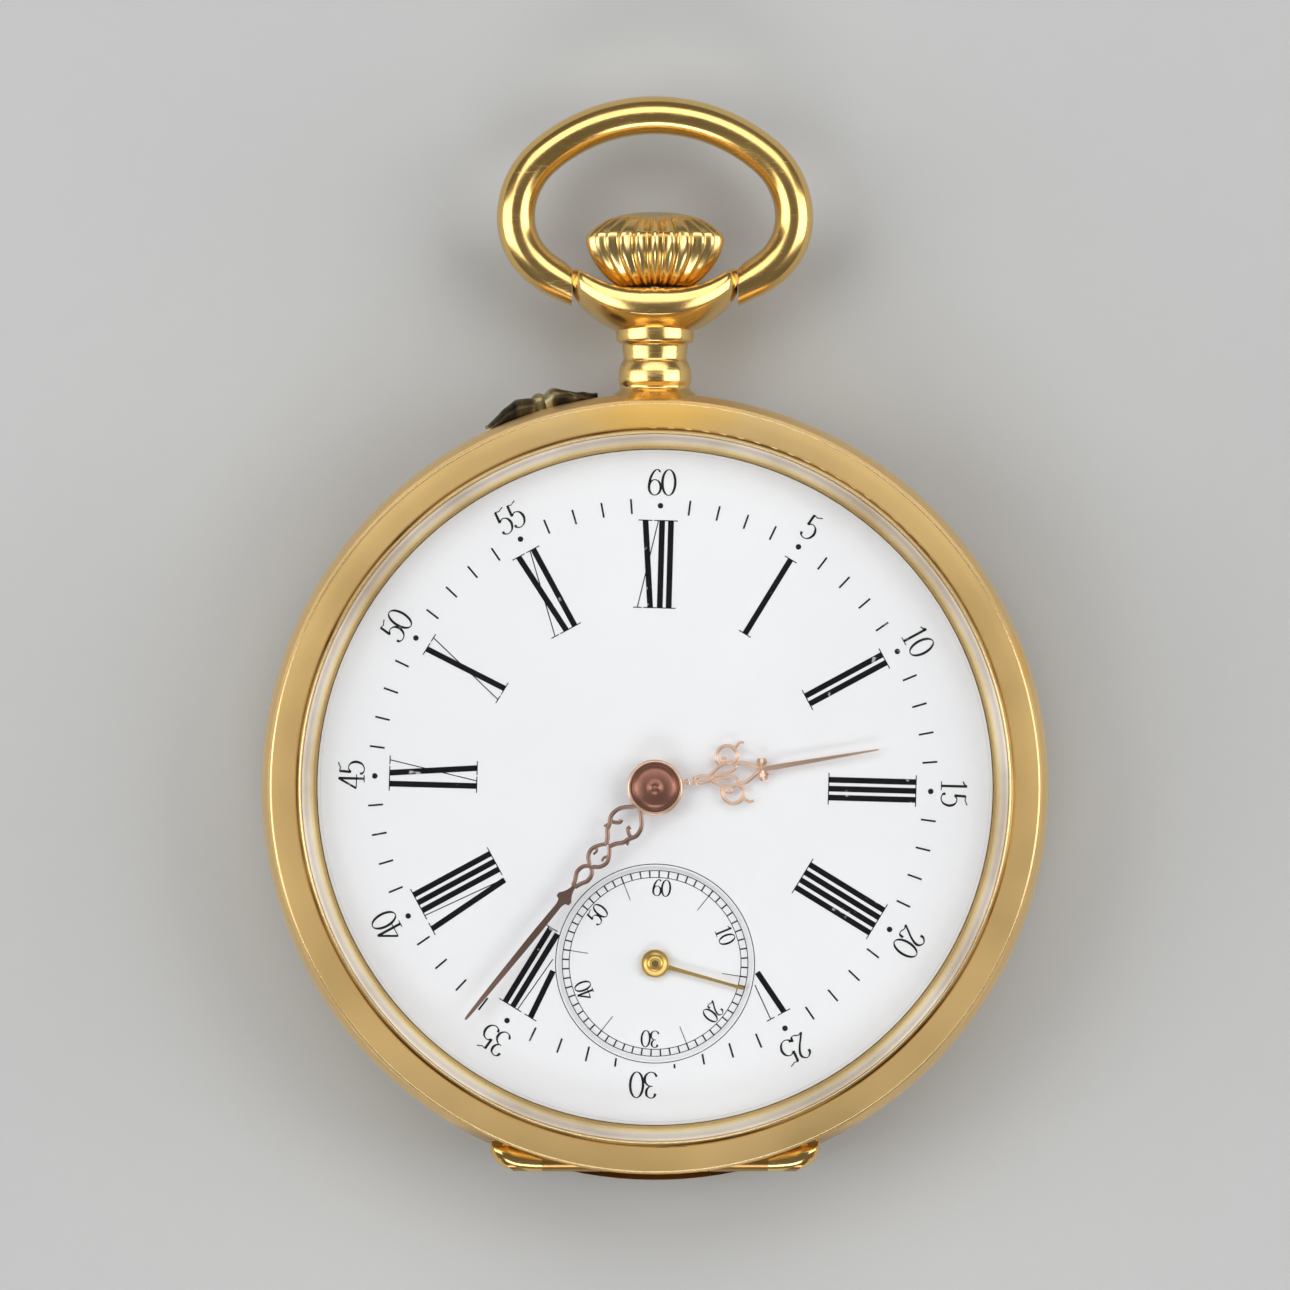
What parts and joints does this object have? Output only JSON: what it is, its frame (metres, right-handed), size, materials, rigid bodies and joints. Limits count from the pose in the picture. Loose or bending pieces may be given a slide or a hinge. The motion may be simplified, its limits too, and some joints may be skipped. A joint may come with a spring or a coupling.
{
  "type": "open face pocket watch",
  "caption": "Keyless open face pocket watch: gold case with oval bow, fluted crown, domed crystal, enamel dial with sunk seconds, and a full lever movement.",
  "frame": {"origin": "on the dial's axis, at the flat centre of the back that the watch lies on", "axes": "+Z out of the dial, +Y from the dial to the pendant, +X to 3 o'clock"},
  "size_m": [0.048, 0.0661, 0.0122],
  "materials": {
    "case_gold": "satin gold",
    "cuvette_gold": "polished gold",
    "polished_gold": "polished gold",
    "tarnished_gold": "tarnished gold",
    "crystal": "clear",
    "enamel": "glossy white enamel",
    "rose_gold": "dark rose gold",
    "seconds_gilt": "gilt",
    "nickel_plate": "frosted gilt",
    "gilt_brass": "gilt",
    "balance_gilt": "polished gilt",
    "steel": "polished",
    "blued_steel": "blued",
    "ruby": "polished ruby"
  },
  "bodies": {
    "case": {"case_middle": "case_gold", "pendant": "polished_gold", "hinge_pins": "polished_gold", "setting_pin_guard": "tarnished_gold", "crown_wheel_screw": "steel", "click_spring": "steel", "dial": "enamel", "seconds_dial": "enamel", "main_plate": "nickel_plate", "barrel_bridge": "nickel_plate", "train_bridge": "nickel_plate", "balance_cock": "nickel_plate", "pallet_cock": "nickel_plate", "hairspring": "blued_steel", "hairspring_stud": "steel", "balance_endstone": "ruby", "train_jewels": "ruby", "bridge_screws": "blued_steel", "case_screws": "blued_steel"},
    "bow": {"bow": "polished_gold"},
    "crown": {"crown": "polished_gold", "winding_stem": "steel", "winding_pinion": "steel"},
    "clutch": {"clutch_wheel": "steel"},
    "crown_wheel": {"crown_wheel": "steel"},
    "ratchet": {"ratchet_wheel": "steel", "ratchet_screw": "blued_steel", "barrel_arbor": "steel"},
    "setting_pin": {"setting_pin": "polished_gold"},
    "yoke": {"yoke": "steel"},
    "bezel": {"bezel": "case_gold", "crystal": "crystal"},
    "back_cover": {"back_cover": "case_gold"},
    "cuvette": {"cuvette": "cuvette_gold"},
    "minute": {"centre_wheel": "gilt_brass", "cannon_pinion": "steel", "minute_hand": "rose_gold"},
    "hour": {"hour_wheel": "gilt_brass", "hour_hand": "rose_gold"},
    "minute_wheel": {"minute_wheel": "gilt_brass"},
    "setting_wheel": {"setting_wheel": "steel"},
    "third": {"third_wheel": "gilt_brass"},
    "fourth": {"fourth_wheel": "gilt_brass", "seconds_hand": "seconds_gilt"},
    "escape": {"escape_wheel": "steel"},
    "barrel": {"barrel": "gilt_brass", "barrel_cover": "gilt_brass", "mainspring": "steel"},
    "pallet": {"pallet_fork": "steel", "pallet_stones": "ruby"},
    "balance": {"balance_wheel": "balance_gilt", "balance_screws": "balance_gilt", "balance_staff": "steel"},
    "regulator": {"regulator": "steel"},
    "click": {"click": "steel"}
  },
  "joints": [
    {"name": "bow_swing", "type": "hinge", "parent": "case", "child": "bow", "pos_m": [0, 0.03046, 0.0052], "axis": [1, 0, 0], "range_deg": [-115, 115]},
    {"name": "bezel_hinge", "type": "hinge", "parent": "case", "child": "bezel", "pos_m": [0, -0.02275, 0.00775], "axis": [1, 0, 0], "range_deg": [0, 95]},
    {"name": "back_hinge", "type": "hinge", "parent": "case", "child": "back_cover", "pos_m": [0, -0.02275, 0.0032], "axis": [-1, 0, 0], "range_deg": [0, 100]},
    {"name": "cuvette_hinge", "type": "hinge", "parent": "case", "child": "cuvette", "pos_m": [0, -0.02275, 0.0032], "axis": [-1, 0, 0], "range_deg": [0, 60]},
    {"name": "crown_spin", "type": "hinge", "parent": "case", "child": "crown", "pos_m": [0, 0, 0.0052], "axis": [0, 1, 0], "continuous": true},
    {"name": "crown_wheel_spin", "type": "hinge", "parent": "case", "child": "crown_wheel", "pos_m": [0, 0.0132, 0.0052], "axis": [0, 0, 1], "continuous": true},
    {"name": "ratchet_spin", "type": "hinge", "parent": "case", "child": "ratchet", "pos_m": [0.00731, 0.00525, 0.0052], "axis": [0, 0, 1], "continuous": true},
    {"name": "setting_push", "type": "slide", "parent": "case", "child": "setting_pin", "axis": [0.289, -0.9573, 0], "range_m": [0, 0.0005], "stiffness_N_per_m": 600},
    {"name": "yoke_swing", "type": "hinge", "parent": "case", "child": "yoke", "pos_m": [-0.0086, 0.015, 0.0052], "axis": [0, 0, -1], "range_deg": [0, 7.5]},
    {"name": "clutch_slide", "type": "slide", "parent": "crown", "child": "clutch", "axis": [0, -1, 0], "range_m": [0, 0.00095]},
    {"name": "centre_spin", "type": "hinge", "parent": "case", "child": "minute", "pos_m": [0, 0, 0.0052], "axis": [0, 0, -1], "continuous": true},
    {"name": "minute_wheel_spin", "type": "hinge", "parent": "case", "child": "minute_wheel", "pos_m": [0, 0.00528, 0.0052], "axis": [0, 0, -1], "continuous": true},
    {"name": "hour_spin", "type": "hinge", "parent": "case", "child": "hour", "pos_m": [0, 0, 0.0052], "axis": [0, 0, -1], "continuous": true},
    {"name": "setting_wheel_spin", "type": "hinge", "parent": "case", "child": "setting_wheel", "pos_m": [0, 0.01078, 0.0052], "axis": [0, 0, -1], "continuous": true},
    {"name": "third_spin", "type": "hinge", "parent": "case", "child": "third", "pos_m": [-0.00424, -0.00582, 0.0052], "axis": [0, 0, -1], "continuous": true},
    {"name": "seconds_spin", "type": "hinge", "parent": "case", "child": "fourth", "pos_m": [0, -0.0107, 0.0052], "axis": [0, 0, -1], "continuous": true},
    {"name": "escape_spin", "type": "hinge", "parent": "case", "child": "escape", "pos_m": [0.00527, -0.00955, 0.0052], "axis": [0, 0, -1], "continuous": true},
    {"name": "barrel_spin", "type": "hinge", "parent": "case", "child": "barrel", "pos_m": [0.00731, 0.00525, 0.0052], "axis": [0, 0, -1], "continuous": true},
    {"name": "pallet_swing", "type": "hinge", "parent": "case", "child": "pallet", "pos_m": [0.00834, -0.00888, 0.0052], "axis": [0, 0, 1], "range_deg": [-5, 5]},
    {"name": "balance_swing", "type": "hinge", "parent": "case", "child": "balance", "pos_m": [0.011, -0.0083, 0.0052], "axis": [0, 0, 1], "range_deg": [-270, 270], "stiffness_Nm_per_rad": 0.0000003},
    {"name": "regulator_turn", "type": "hinge", "parent": "case", "child": "regulator", "pos_m": [0.011, -0.0083, 0.0052], "axis": [0, 0, 1], "range_deg": [-20, 20]},
    {"name": "click_lift", "type": "hinge", "parent": "case", "child": "click", "pos_m": [-0.0025, 0.0071, 0.0052], "axis": [0, 0, 1], "range_deg": [0, 8], "stiffness_Nm_per_rad": 0.0001}
  ],
  "couplings": [
    {"joint": "cuvette_hinge", "follows": "back_hinge", "ratio": 0.6},
    {"joint": "crown_wheel_spin", "follows": "crown_spin", "ratio": 0.5},
    {"joint": "ratchet_spin", "follows": "crown_spin", "ratio": -0.25},
    {"joint": "yoke_swing", "follows": "setting_push", "rad_per_m": 256.41},
    {"joint": "clutch_slide", "follows": "setting_push", "ratio": 1.8718},
    {"joint": "minute_wheel_spin", "follows": "centre_spin", "ratio": -0.33333},
    {"joint": "hour_spin", "follows": "centre_spin", "ratio": 0.083333},
    {"joint": "setting_wheel_spin", "follows": "centre_spin", "ratio": 0.85714},
    {"joint": "third_spin", "follows": "centre_spin", "ratio": -8},
    {"joint": "seconds_spin", "follows": "centre_spin", "ratio": 60},
    {"joint": "escape_spin", "follows": "centre_spin", "ratio": -600},
    {"joint": "barrel_spin", "follows": "centre_spin", "ratio": -0.125}
  ]
}
